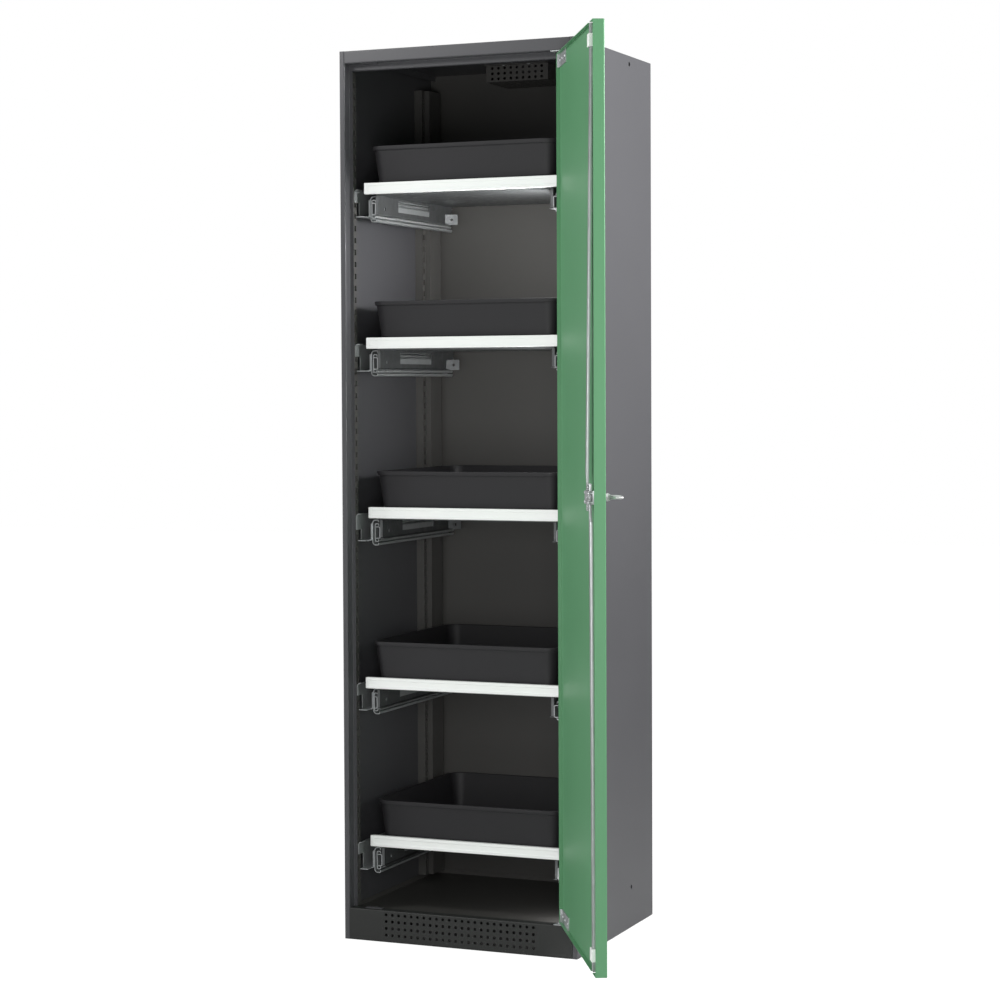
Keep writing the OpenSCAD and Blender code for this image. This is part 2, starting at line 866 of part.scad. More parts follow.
module carrier(i) {
    corner = plate_bend + deck_t;
    color(steel_color) drawer_place(i) {
        difference() {
            along_y(flange_y, slide_l) carrier_section();
            both_sides() along_x(plate_x - 1, plate_foot + 2) plate_cuts();
        }
        span([plate_x + corner, flange_y, -1 - deck_t],
            [body_w - plate_x - corner, flange_y + deck_t, bar_h - 4]);
        both_sides() {
            span([plate_x, flange_y, corner - 1 - plate_drop],
                [plate_x + plate_lip, flange_y + deck_t, -1 - corner]);
            carrier_ear();
        }
    }
}

// Solid with rounded corners that widens from its base
module flared(w0, d0, h, flare, r) {
    hull() for (sx = [-1, 1], sy = [-1, 1]) {
        translate([sx * (w0 / 2 - r), sy * (d0 / 2 - r), 0]) cylinder(r = r, h = eps, $fn = 32);
        translate([sx * (w0 / 2 + flare - r), sy * (d0 / 2 + flare - r), h - eps])
            cylinder(r = r, h = eps, $fn = 32);
    }
}

// Moulded tray: flared walls, a flat floor and a thick rim
module tray(i) {
    w = tray_base_w;
    d = tray_base_d;
    rim_flare = tray_flare * tray_rim_h / tray_h;
    color(tray_color) drawer_place(i) translate([mid_x, tray_y + d / 2, -1]) difference() {
        union() {
            flared(w, d, tray_h, tray_flare, tray_corner);
            translate([0, 0, tray_h - tray_rim_h])
                flared(w + 2 * (tray_flare - rim_flare) + 2 * tray_rim_out,
                    d + 2 * (tray_flare - rim_flare) + 2 * tray_rim_out,
                    tray_rim_h, rim_flare, tray_corner + tray_rim_out);
        }
        translate([0, 0, tray_wall]) flared(w - 2 * tray_wall, d - 2 * tray_wall,
            tray_h, tray_flare * tray_h / (tray_h - tray_wall), tray_corner - tray_wall);
    }
}

// Front bar: an extrusion with a shallow channel, closed by two end caps
module front_bar(i) {
    c = bar_chamfer;
    y1 = bar_y + bar_t;
    corners = [[bar_y, bar_h - c], [bar_y + c, bar_h], [y1 - c, bar_h], [y1, bar_h - c],
        [y1, c], [y1 - c, 0], [bar_y + c, 0], [bar_y, c]];
    groove_y = bar_y + bar_groove;
    color(bar_color) drawer_place(i) {
        along_x(bar_inset + bar_cap, bar_w - 2 * bar_cap) difference() {
            polygon(concat(corners, [[bar_y, bar_edge], [groove_y, bar_edge + c],
                [groove_y, bar_h - bar_edge - c], [bar_y, bar_h - bar_edge]]));
            translate([groove_y + bar_wall, bar_wall])
                square([bar_t - bar_groove - 2 * bar_wall, bar_h - 2 * bar_wall]);
        }
        both_sides() along_x(bar_inset, bar_cap) polygon(corners);
    }
}

// ---------- door ----------

// Outer skin with its four flanges and the folded edge round the recess
module door_shell() {
    color(door_color) on_door() difference() {
        intersection() {
            translate([0, 0, door_z0]) linear_extrude(door_z1 - door_z0)
                folded_outline(door_x0, door_x1, door_t);
            along_x(door_x0, door_x1 - door_x0) mirror([1, -1])
                folded_outline(door_z0, door_z1, door_t);
        }
        span([door_x0 + sheet, sheet, door_z0 + sheet],
            [door_x1 - sheet, liner_y, door_z1 - sheet]);
        span([door_x0 + sheet, liner_y - 1, door_z0 + sheet],
            [door_x1 - sheet, door_t + 1, door_z1 - sheet]);
        translate([spindle_x, -1, spindle_z]) rotate([-90, 0, 0])
            cylinder(r = spindle_r + 1, h = sheet + 2);
        translate([spindle_x - keeper_slot_w / 2, keeper_y - keeper_slot_d / 2, door_z1 - 5])
            cube([keeper_slot_w, keeper_slot_d, 10]);
        translate([spindle_x - keeper_slot_w / 2, keeper_y - keeper_slot_d / 2, door_z0 - 5])
            cube([keeper_slot_w, keeper_slot_d, 10]);
        for (z = [door_z0 - 5, door_z1 - 5])
            translate([pivot_x, pivot_y, z]) cylinder(r = pin_r + pin_fit, h = 10);
    }
}

module door_liner() {
    color(door_color) on_door() difference() {
        span([door_x0 + sheet, liner_y - sheet, door_z0 + sheet],
            [door_x1 - sheet, liner_y, door_z1 - sheet]);
        translate([spindle_x, liner_y - 5, spindle_z]) rotate([-90, 0, 0])
            cylinder(r = spindle_r + 1, h = 10);
    }
}

// Hat section up the middle of the door, between the skin and the liner
module door_stiffener() {
    w = stiffener_half;
    f = stiffener_half + stiffener_foot;
    y0 = sheet;
    y1 = liner_y - sheet;
    z0 = door_z0 + stiffener_end;
    color("gray") on_door() translate([(door_x0 + door_x1) / 2, 0, z0])
        linear_extrude(door_z1 - stiffener_end - z0) polygon([
            [-f, y0], [-w, y0], [-w, y1 - sheet], [w, y1 - sheet], [w, y0], [f, y0],
            [f, y0 + sheet], [w + sheet, y0 + sheet], [w + sheet, y1], [-w - sheet, y1],
            [-w - sheet, y0 + sheet], [-f, y0 + sheet]]);
}

// Angle in the corner of the recess: a leaf on the liner and one on the hinge flange
module hinge_plate(z0) {
    x1 = hinge_leaf_x + hinge_leaf_w;
    y1 = door_t - leaf_edge;
    difference() {
        translate([0, 0, z0]) linear_extrude(hinge_leaf_h) polygon([[hinge_leaf_x, liner_y],
            [x1, liner_y], [x1, y1], [x1 - leaf_t, y1], [x1 - leaf_t, liner_y + leaf_t],
            [hinge_leaf_x, liner_y + leaf_t]]);
        for (x = hinge_screw_x)
            translate([x, liner_y - 1, z0 + hinge_leaf_h / 2]) rotate([-90, 0, 0])
                cylinder(r = hinge_screw_r / 2 + screw_clear, h = leaf_t + 2, $fn = 24);
    }
}

module hinge_plates() {
    color(steel_color) on_door() {
        for (z = hinge_leaf_z) hinge_plate(z);
    }
}

// Pins through the brackets of the body, the lower one with a collar to stand on
module hinge_pins() {
    collar_z = plinth_h + bracket_t + 0.1;
    color(steel_color) on_door() translate([pivot_x, pivot_y, 0]) {
        translate([0, 0, plinth_h - 5]) cylinder(r = pin_r, h = 36);
        translate([0, 0, collar_z]) cylinder(r = pin_r + 1.3, h = door_z0 - collar_z);
        translate([0, 0, rail_z - 30]) cylinder(r = pin_r, h = 36);
    }
}

// Base and cover of the lock, held apart by four pillars
module lock_case() {
    color(steel_color) on_door() difference() {
        union() {
            span([spindle_x - lock_half_w, liner_y, spindle_z - lock_half_h],
                [spindle_x + lock_half_w, rod_y - 0.6, spindle_z + lock_half_h]);
            span([spindle_x - lock_half_w, lock_top_y, spindle_z - lock_half_h],
                [spindle_x + lock_half_w, lock_top_y + lock_plate_t, spindle_z + lock_half_h]);
            for (sx = [-1, 1], sz = [-1, 1])
                translate([spindle_x + sx * pillar_x, liner_y, spindle_z + sz * pillar_z])
                    rotate([-90, 0, 0]) cylinder(r = pillar_r, h = lock_top_y - liner_y + 0.5);
        }
        translate([spindle_x, liner_y - 1, spindle_z]) rotate([-90, 0, 0])
            cylinder(r = spindle_r + spindle_clear, h = 40);
        for (sx = [-1, 1], sz = [-1, 1])
            translate([spindle_x + sx * pillar_x, lock_top_y + lock_plate_t - lock_screw_l,
                spindle_z + sz * pillar_z]) rotate([-90, 0, 0])
                cylinder(r = lock_screw_r / 2 + screw_clear, h = lock_screw_l + 1, $fn = 24);
    }
}

// Blocks that guide the ends of the lock rods
module rod_guide(z0) {
    g = guide_clear;
    difference() {
        span([spindle_x - guide_w / 2, liner_y, z0],
            [spindle_x + guide_w / 2, door_t + guide_proud, z0 + guide_h]);
        span([spindle_x - rod_w / 2 - g, rod_guide_y - g, z0 - 1],
            [spindle_x + rod_w / 2 + g, rod_guide_y + rod_t + g, z0 + guide_h + 1]);
    }
}

module rod_guides() {
    color(guide_color) on_door() {
        rod_guide(door_z1 - guide_margin - guide_h);
        rod_guide(door_z0 + guide_margin);
    }
}

module handle_rosette() {
    color("#202122") on_door() translate([spindle_x, 0, spindle_z]) rotate([90, 0, 0])
        rotate_extrude($fn = 64) polygon([[spindle_r + spindle_clear, 0],
            [rosette_d / 2, 0], [rosette_d / 2, rosette_t - 1], [rosette_d / 2 - 1, rosette_t],
            [spindle_r + spindle_clear, rosette_t]]);
}

// Wing grip on a round neck, drawn with the wing level as it is when open
module handle_grip() {
    y0 = -rosette_t - 0.3;
    neck = 12;
    color(steel_color) on_door() translate([spindle_x, 0, spindle_z]) {
        translate([0, y0, 0]) rotate([90, 0, 0]) cylinder(r = neck_r, h = neck);
        translate([0, y0 - neck + 2, -grip_t / 2]) linear_extrude(grip_t) polygon([
            [-neck_r, 0], [neck_r, 0], [grip_l / 2, -10], [grip_l / 2 - 1, 12 - grip_reach],
            [grip_l / 2 - 7, 9 - grip_reach], [0, 12 - grip_reach],
            [7 - grip_l / 2, 9 - grip_reach], [1 - grip_l / 2, 12 - grip_reach],
            [-grip_l / 2, -10]]);
    }
}

// Flank of an involute tooth: the angle of the tooth's half width at radius r
function inv(a) = tan(a) * 180 / PI - a;
function half_angle(r) = let (rb = pitch_r * cos(pressure_angle), q = max(r, rb),
    a = acos(rb / q))
    90 / pinion_teeth - backlash / 2 / pitch_r * 180 / PI / 2 + inv(pressure_angle) - inv(a);

module pinion_outline() {
    tip = pitch_r + gear_module * 0.95;
    root = pitch_r - rack_add - 0.5;
    radii = [for (i = [0 : 6]) root + (tip - root) * i / 6];
    polygon([for (t = [0 : pinion_teeth - 1]) each concat(
        [for (r = radii) let (a = (t + 0.5) * 360 / pinion_teeth - half_angle(r))
            [r * cos(a), r * sin(a)]],
        [for (i = [6 : -1 : 0]) let (r = radii[i],
            a = (t + 0.5) * 360 / pinion_teeth + half_angle(r)) [r * cos(a), r * sin(a)]])]);
}

// Spindle from the grip to the lock's cover, with the pinion between the racks
module lock_pinion() {
    y0 = -rosette_t - 0.3;
    length = lock_top_y - 0.3 - y0;
    color("silver") on_door() translate([spindle_x, 0, spindle_z]) {
        translate([0, y0, 0]) rotate([-90, 0, 0]) cylinder(r = spindle_r, h = length);
        translate([0, rod_y + rod_t, 0]) rotate([90, 0, 0]) linear_extrude(rod_t)
            pinion_outline();
    }
}

// Rack in x and z: straight flanks, teeth towards -x from the pitch line at x = 0
module rack_outline() {
    p = PI * gear_module;
    n = floor(rack_half / p);
    half = p / 4 - backlash / 2;
    ta = tan(pressure_angle);
    back = rack_ded + rack_back;
    polygon(concat([[back, -rack_half]],
        [[rack_ded, -rack_half]],
        [for (i = [-n : n]) each [
            [rack_ded, i * p - half - rack_ded * ta], [-rack_add, i * p - half + rack_add * ta],
            [-rack_add, i * p + half - rack_add * ta], [rack_ded, i * p + half + rack_ded * ta]]],
        [[rack_ded, rack_half], [back, rack_half]]));
}

// One lock rod: rack beside the pinion, a sloping strip and a tip in its guide.
// It is drawn for the upper rod, from the spindle upwards.
module lock_rod(reach, foot) {
    x0 = pitch_r + rack_ded;
    neck_z = rack_half + 6;
    strip_z = neck_z + 14;
    translate([pitch_r, rod_y + rod_t, 0]) rotate([90, 0, 0])
        linear_extrude(rod_t) rack_outline();
    span([x0, rod_y, rack_half - 1], [x0 + rack_back, rod_y + rod_t, neck_z]);
    hull() {
        translate([x0, rod_y, neck_z - 1]) cube([rack_back, rod_t, 1]);
        translate([x0, rod_y, strip_z]) cube([rod_w, rod_t, 1]);
    }
    hull() {
        translate([x0, rod_y, strip_z]) cube([rod_w, rod_t, 1]);
        translate([-rod_w / 2, rod_guide_y, foot]) cube([rod_w, rod_t, 1]);
    }
    translate([-rod_w / 2, rod_guide_y, foot]) cube([rod_w, rod_t, reach - foot]);
}

module upper_rod() {
    color(steel_color) on_door() translate([spindle_x, 0, spindle_z])
        lock_rod(rod_top_z - spindle_z, door_z1 - spindle_z - guide_reach);
}

module lower_rod() {
    color(steel_color) on_door() translate([spindle_x, 0, spindle_z])
        rotate([0, 180, 0])
            lock_rod(spindle_z - rod_bottom_z, spindle_z - door_z0 - guide_reach);
}

// ---------- fasteners ----------

// Pan head screw with its tip at the origin and its head, of radius r, on top
module pan_screw(r, l) {
    cylinder(r = r / 2, h = l, $fn = 24);
    translate([0, 0, l]) cylinder(r1 = r, r2 = r * 0.6, h = r * 0.5, $fn = 32);
}

// Screws of the exhaust cover and of the lower hinge bracket
module cabinet_screws() {
    color(steel_color) cab() {
        for (x = [-cover_screw_x, cover_screw_x])
            translate([mid_x + x, cover_y - cover_flange / 2, body_h - sheet])
                rotate([180, 0, 0]) pan_screw(cover_screw_r, sheet);
        for (x = bracket_screw_x)
            translate([x, bracket_screw_y, plinth_h]) pan_screw(bracket_screw_r, bracket_t);
    }
}

// Screws of the hinge plates and the lock cover
module door_screws() {
    color(steel_color) on_door() {
        for (x = hinge_screw_x, z = hinge_leaf_z)
            translate([x, liner_y, z + hinge_leaf_h / 2]) rotate([-90, 0, 0])
                pan_screw(hinge_screw_r, leaf_t);
        for (sx = [-1, 1], sz = [-1, 1])
            translate([spindle_x + sx * pillar_x, lock_top_y + lock_plate_t - lock_screw_l,
                spindle_z + sz * pillar_z]) rotate([-90, 0, 0])
                pan_screw(lock_screw_r, lock_screw_l);
    }
}

left_side_panel();
right_side_panel();
back_panel();
roof_panel();
top_rail();
plinth_panel();
floor_pan();
base_frame();
levelling_feet();
front_posts();
rear_posts();
exhaust_spigot();
exhaust_cover();
hinge_brackets();
keeper_plates();
slide_brackets();
cabinet_rails();
cabinet_screws();
door_shell();
door_liner();
door_stiffener();
hinge_plates();
hinge_pins();
lock_case();
rod_guides();
handle_rosette();
door_screws();
handle_grip();
lock_pinion();
upper_rod();
lower_rod();
tray(0);  // tray_1
tray(1);  // tray_2
tray(2);  // tray_3
tray(3);  // tray_4
tray(4);  // tray_5
carrier(0);  // carrier_1
carrier(1);  // carrier_2
carrier(2);  // carrier_3
carrier(3);  // carrier_4
carrier(4);  // carrier_5
front_bar(0);  // front_bar_1
front_bar(1);  // front_bar_2
front_bar(2);  // front_bar_3
front_bar(3);  // front_bar_4
front_bar(4);  // front_bar_5
drawer_rails(0);  // drawer_rails_1
drawer_rails(1);  // drawer_rails_2
drawer_rails(2);  // drawer_rails_3
drawer_rails(3);  // drawer_rails_4
drawer_rails(4);  // drawer_rails_5
mid_rails(0);  // mid_rails_1
mid_rails(1);  // mid_rails_2
mid_rails(2);  // mid_rails_3
mid_rails(3);  // mid_rails_4
mid_rails(4);  // mid_rails_5
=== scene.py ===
# %% [markdown]
# # A reagent drawer cabinet
# A tall, slim cabinet of folded steel sheet stands with its green door open. Behind the door
# five plastic trays ride on telescopic slides, each behind a white bar. The exact parts come
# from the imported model; this lesson gives them their finishes, and makes again, as smooth
# surfaces, the pieces whose rounded edges matter: the trays, the bars, the handle, the
# screws of the door, the spigot, and a few stampings and mouldings of the door and the lock.

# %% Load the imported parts
import json
import math

import bmesh
import bpy
import numpy as np
from mathutils import Matrix, Vector


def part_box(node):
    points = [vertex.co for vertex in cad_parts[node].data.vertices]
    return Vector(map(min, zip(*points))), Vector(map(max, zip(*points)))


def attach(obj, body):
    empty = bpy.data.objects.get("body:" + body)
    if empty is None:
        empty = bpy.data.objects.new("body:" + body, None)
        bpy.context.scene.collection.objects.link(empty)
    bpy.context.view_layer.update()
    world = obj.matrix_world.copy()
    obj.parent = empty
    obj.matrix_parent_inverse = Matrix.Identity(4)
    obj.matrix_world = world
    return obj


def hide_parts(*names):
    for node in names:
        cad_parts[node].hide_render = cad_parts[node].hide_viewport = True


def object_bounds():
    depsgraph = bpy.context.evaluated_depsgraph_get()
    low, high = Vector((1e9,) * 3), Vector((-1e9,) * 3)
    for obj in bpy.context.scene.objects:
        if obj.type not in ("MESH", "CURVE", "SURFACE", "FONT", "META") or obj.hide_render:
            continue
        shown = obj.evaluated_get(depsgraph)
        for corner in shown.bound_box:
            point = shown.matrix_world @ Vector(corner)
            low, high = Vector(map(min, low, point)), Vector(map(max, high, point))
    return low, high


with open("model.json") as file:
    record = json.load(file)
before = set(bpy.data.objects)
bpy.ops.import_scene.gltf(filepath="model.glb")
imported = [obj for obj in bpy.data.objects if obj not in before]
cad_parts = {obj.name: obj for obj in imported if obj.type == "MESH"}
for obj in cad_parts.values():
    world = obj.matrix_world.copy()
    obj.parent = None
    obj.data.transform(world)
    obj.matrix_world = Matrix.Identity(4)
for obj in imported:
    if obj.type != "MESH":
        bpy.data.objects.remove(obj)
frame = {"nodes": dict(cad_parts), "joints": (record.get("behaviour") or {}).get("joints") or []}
cad_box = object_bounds()
nodes = frame["nodes"]
print("loaded", len(nodes), "nodes; the box is", [list(map(float, p)) for p in cad_box])

# %% [markdown]
# ## The camera
# The photograph was taken with a long lens from the right of the cabinet, at the height of
# its upper third. The place and the three angles were worked out from the corners of the body
# and of the door. The long lens keeps the vertical edges nearly parallel; the small shift
# moves the view sideways, so that the uprights stay upright.

# %% Camera
CAMERA_PLACE = (2.114, -5.359, 1.2155)
CAMERA_YAW, CAMERA_PITCH, CAMERA_ROLL = (math.radians(a) for a in (-24.432, -2.011, -0.353))
SENSOR = 36.0
FOCAL_IN_FRAMES = 2.566
SHIFT = (0.130, -0.022)
CLIP_END = 60


def camera_turn(yaw, pitch, roll):
    """Right, up and back directions of a camera that looks along yaw and pitch, then rolls."""
    look = Vector((math.sin(yaw) * math.cos(pitch), math.cos(yaw) * math.cos(pitch),
                   math.sin(pitch)))
    right = look.cross(Vector((0, 0, 1))).normalized()
    up = right.cross(look)
    rolled_right = right * math.cos(roll) + up * math.sin(roll)
    rolled_up = up * math.cos(roll) - right * math.sin(roll)
    return Matrix((rolled_right, rolled_up, -look)).transposed().to_4x4()


camera_data = bpy.data.cameras.new("camera")
camera_data.sensor_width = SENSOR
camera_data.lens = SENSOR * FOCAL_IN_FRAMES
camera_data.shift_x, camera_data.shift_y = SHIFT
camera_data.clip_end = CLIP_END
camera = bpy.data.objects.new("camera", camera_data)
camera.matrix_world = Matrix.Translation(CAMERA_PLACE) @ camera_turn(
    CAMERA_YAW, CAMERA_PITCH, CAMERA_ROLL)
bpy.context.scene.collection.objects.link(camera)
bpy.context.scene.camera = camera
print("lens", round(camera_data.lens, 1), "mm")

# %% [markdown]
# ## Colours and nodes
# Colours are written as they look on a screen, as sRGB hex values. Shaders work in linear
# light, so one function turns the one into the other. A second function adds a shader node
# with its settings and its links, which keeps every material below short enough to read.

# %% Colour and node helpers


def linear(hex_colour):
    """Linear RGBA of an sRGB hex colour such as "3c3c3e"."""
    channels = np.array([int(hex_colour[i:i + 2], 16) for i in (0, 2, 4)]) / 255
    low = channels / 12.92
    high = ((channels + 0.055) / 1.055) ** 2.4
    return (*np.where(channels <= 0.04045, low, high).tolist(), 1.0)


def add_node(tree, kind, inputs=None, **settings):
    """Adds a node, sets its attributes, and fills its inputs with values or links."""
    made = tree.nodes.new(kind)
    for name, value in settings.items():
        setattr(made, name, value)
    for name, value in (inputs or {}).items():
        socket = made.inputs[name]
        if isinstance(value, bpy.types.NodeSocket):
            tree.links.new(value, socket)
        else:
            socket.default_value = value
    return made


def new_material(name):
    """An empty material, its tree, its surface shader and the object's coordinates in metres."""
    material = bpy.data.materials.new(name)
    material.use_nodes = True
    tree = material.node_tree
    shader = tree.nodes["Principled BSDF"]
    place = add_node(tree, "ShaderNodeTexCoord").outputs["Object"]
    return material, tree, shader, place


def ramp(tree, factor, low, high, dark, pale):
    """A colour ramp from dark at low to pale at high, both linear RGBA."""
    made = add_node(tree, "ShaderNodeValToRGB", {"Fac": factor})
    first, last = made.color_ramp.elements
    first.position, last.position = low, high
    first.color, last.color = dark, pale
    return made.outputs["Color"]


# %% [markdown]
# ## Powder coat
# The body, the inside and the door are powder coated: a dry polyester powder is baked into a
# skin of about 0.08 mm. It flows into a fine orange peel, with waves 1 to 3 mm apart, and
# that softens every highlight. The waves are bump; a second, larger noise makes the
# colour drift by a few per cent, as a baked coat does over two metres of sheet.

# %% Powder coat
PEEL_PITCH_MM = 2.4
PEEL_DEPTH_M = 0.0002
DRIFT_PITCH_MM = 420
CLOUD_LOW, CLOUD_HIGH = 0.3, 0.7


def powder_coat(name, colour, roughness, drift=0.05, peel=0.05):
    """Baked polyester powder in one colour: drifting tone, orange peel, satin gloss."""
    material, tree, shader, place = new_material(name)
    base = linear(colour)
    darker = tuple(c * (1 - drift) for c in base[:3]) + (1,)
    paler = tuple(c * (1 + drift) for c in base[:3]) + (1,)
    slow = add_node(tree, "ShaderNodeTexNoise",
                    {"Vector": place, "Scale": 1000 / DRIFT_PITCH_MM, "Detail": 2})
    shader.inputs["Roughness"].default_value = roughness
    tree.links.new(ramp(tree, slow.outputs["Fac"], CLOUD_LOW, CLOUD_HIGH, darker, paler),
                   shader.inputs["Base Color"])
    waves = add_node(tree, "ShaderNodeTexNoise",
                     {"Vector": place, "Scale": 1000 / PEEL_PITCH_MM, "Detail": 1})
    bump = add_node(tree, "ShaderNodeBump",
                    {"Height": waves.outputs["Fac"], "Strength": peel,
                     "Distance": PEEL_DEPTH_M})
    tree.links.new(bump.outputs["Normal"], shader.inputs["Normal"])
    return material


body_coat = powder_coat("dark_grey_powder_coat", "48484b", 0.40)
inside_coat = powder_coat("interior_powder_coat", "4a4947", 0.44)
door_coat = powder_coat("green_powder_coat", "558c63", 0.48, drift=0.03)
# The plinth's coat is the body's grey made darker: painted shade for the light that falls off towards
# the bottom of the cabinet.
plinth_coat_painted_shade = powder_coat("plinth_powder_coat_painted_shade", "242524", 0.5)
bar_coat = powder_coat("white_powder_coat", "f0f2f0", 0.36, drift=0.01)

# %% [markdown]
# ## Zinc plated steel and satin metal
# The slides, their brackets and the lock are zinc plated sheet, and the carriers are darker
# galvanised sheet. The plating is a thin metal skin with faint cloudy patches in its tone and
# fine rolling marks. Patches of roughness show as soft spots in the highlights. A part of the
# surface is dull, as zinc is after some years, so the metal share stays below one.

# %% Zinc plated steel and satin metal
PATCH_MM = 14
PATCH_SHADE = 0.94
ROLLING_MM = 0.9
ROLLING_DEPTH_M, ROLLING_STRENGTH = 0.0001, 0.05


def plated_steel(name, colour, roughness, patchy, metal):
    """Metal skin with cloudy patches in its tone and in its gloss."""
    material, tree, shader, place = new_material(name)
    shader.inputs["Metallic"].default_value = metal
    patches = add_node(tree, "ShaderNodeTexVoronoi",
                       {"Vector": place, "Scale": 1000 / PATCH_MM, "Randomness": 1.0})
    grey = add_node(tree, "ShaderNodeSeparateColor", {"Color": patches.outputs["Color"]})
    base = linear(colour)
    tone = ramp(tree, grey.outputs["Red"], 0.0, 1.0,
                tuple(c * PATCH_SHADE for c in base[:3]) + (1,), base)
    gloss = add_node(tree, "ShaderNodeMapRange",
                     {"Value": grey.outputs["Green"], "To Min": roughness - patchy,
                      "To Max": roughness + patchy})
    tree.links.new(tone, shader.inputs["Base Color"])
    tree.links.new(gloss.outputs["Result"], shader.inputs["Roughness"])
    marks = add_node(tree, "ShaderNodeTexNoise",
                     {"Vector": place, "Scale": 1000 / ROLLING_MM, "Detail": 2})
    bump = add_node(tree, "ShaderNodeBump",
                    {"Height": marks.outputs["Fac"], "Strength": ROLLING_STRENGTH,
                     "Distance": ROLLING_DEPTH_M})
    tree.links.new(bump.outputs["Normal"], shader.inputs["Normal"])
    return material


zinc = plated_steel("zinc_plated_steel", "b4b7b8", 0.42, 0.06, 0.7)
galvanised = plated_steel("galvanised_steel", "6c6e6f", 0.46, 0.08, 0.8)
nickel = plated_steel("satin_nickel", "c4c4c4", 0.5, 0.04, 0.6)

# %% [markdown]
# ## Moulded plastics
# The trays are moulded from polypropylene in a spark-eroded mould, which leaves a fine grain
# on every face, about half a millimetre across. The rod guides are white polyamide, with a
# little light passing into them, and the rosette is black polyamide.

# %% Moulded plastics
GRAIN_MM = 0.8
GRAIN_DEPTH_M, GRAIN_STRENGTH = 0.0001, 0.12
PLASTIC_IOR = 1.49
LIGHT_DEPTH_M = (0.002, 0.002, 0.002)
CLOUDS_PER_M, CLOUD_SHARE = 9, 0.06


def moulded(name, colour, roughness, glow=0.0):
    """Moulded plastic: eroded grain as bump, a slight cloud in the tone, dielectric gloss."""
    material, tree, shader, place = new_material(name)
    shader.inputs["IOR"].default_value = PLASTIC_IOR
    shader.inputs["Roughness"].default_value = roughness
    shader.inputs["Subsurface Weight"].default_value = glow
    shader.inputs["Subsurface Radius"].default_value = LIGHT_DEPTH_M
    base = linear(colour)
    darker = tuple(c * (1 - CLOUD_SHARE) for c in base[:3]) + (1,)
    paler = tuple(min(1, c * (1 + CLOUD_SHARE)) for c in base[:3]) + (1,)
    cloud = add_node(tree, "ShaderNodeTexNoise",
                     {"Vector": place, "Scale": CLOUDS_PER_M, "Detail": 3})
    tree.links.new(ramp(tree, cloud.outputs["Fac"], CLOUD_LOW, CLOUD_HIGH, darker, paler),
                   shader.inputs["Base Color"])
    eroded = add_node(tree, "ShaderNodeTexNoise",
                      {"Vector": place, "Scale": 1000 / GRAIN_MM, "Detail": 1})
    bump = add_node(tree, "ShaderNodeBump",
                    {"Height": eroded.outputs["Fac"], "Strength": GRAIN_STRENGTH,
                     "Distance": GRAIN_DEPTH_M})
    tree.links.new(bump.outputs["Normal"], shader.inputs["Normal"])
    return material


tray_plastic = moulded("grained_polypropylene", "1a191c", 0.6)
guide_plastic = moulded("white_polyamide", "eef2ee", 0.4, glow=0.1)
rosette_plastic = moulded("black_polyamide", "232425", 0.35)

# %% [markdown]
# ## Which part has which finish
# A CAD node keeps its shape and gets its finish by putting a material in its slot. The
# names follow the parts, so a short table of name stems is enough for all of them.

# %% Finishes of the CAD nodes
FINISHES = {
    "left_side_panel": body_coat, "right_side_panel": body_coat, "roof_panel": body_coat,
    # The plinth panel takes the darker coat, which paints the shade at the bottom of the body.
    "top_rail": body_coat, "plinth_panel": plinth_coat_painted_shade, "base_frame": body_coat,
    "exhaust_spigot": body_coat, "back_panel": inside_coat, "floor_pan": inside_coat,
    "front_posts": inside_coat, "rear_posts": inside_coat, "exhaust_cover": inside_coat,
    "levelling_feet": zinc, "hinge_brackets": zinc, "keeper_plates": body_coat,
    "slide_brackets": zinc, "cabinet_rails": zinc, "cabinet_screws": zinc,
    "door_shell": door_coat, "door_liner": door_coat, "door_stiffener": zinc,
    "hinge_plates": zinc, "hinge_pins": zinc, "lock_case": zinc, "rod_guides": guide_plastic,
    "handle_rosette": rosette_plastic, "door_screws": zinc, "handle_grip": nickel,
    "lock_pinion": zinc, "upper_rod": zinc, "lower_rod": zinc, "tray": tray_plastic,
    "carrier": galvanised, "front_bar": bar_coat, "drawer_rails": zinc, "mid_rails": zinc,
}


def finish_of(name):
    """The finish of a node: its own entry, or that of the stem before its number."""
    stem = name.rstrip("0123456789").rstrip("_")
    return FINISHES[name] if name in FINISHES else FINISHES[stem]


for name, part in nodes.items():
    part.data.materials.clear()
    part.data.materials.append(finish_of(name))
print("finished", len(nodes), "nodes in", len(set(FINISHES.values())), "materials")

# %% [markdown]
# ## Rings of points
# The moulded and turned pieces are skins over closed rings of points. A ring is an array of
# (points, 3), and a shell stacks such rings, so its faces follow from the row and column
# numbers alone. A shell ends in two caps, or its last ring meets its first, as on a tube wall.

# %% Shells from rings
MM = 0.001
SHARP_ANGLE = math.radians(32)
NEARLY_UPRIGHT = 0.9
STAR_LOBES = 6


def shell_faces(rows, cols, loop):
    """Quads (r, c), (r, c+1), (r+1, c+1), (r+1, c), with c counted round the ring."""
    r, c = np.meshgrid(np.arange(rows if loop else rows - 1), np.arange(cols), indexing="ij")
    down, along = (r + 1) % rows, (c + 1) % cols
    quads = np.stack([r * cols + c, r * cols + along, down * cols + along, down * cols + c], -1)
    return quads.reshape(-1, 4).tolist()


def link_piece(name, mesh, finish, body, replaced):
    """Makes an object of a mesh, gives it its finish, hangs it on its body's empty and hides the
    parts it replaces.
    """
    mesh.materials.clear()
    mesh.materials.append(finish)
    piece = bpy.data.objects.new(name, mesh)
    bpy.context.scene.collection.objects.link(piece)
    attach(piece, body)
    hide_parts(*replaced)
    return piece


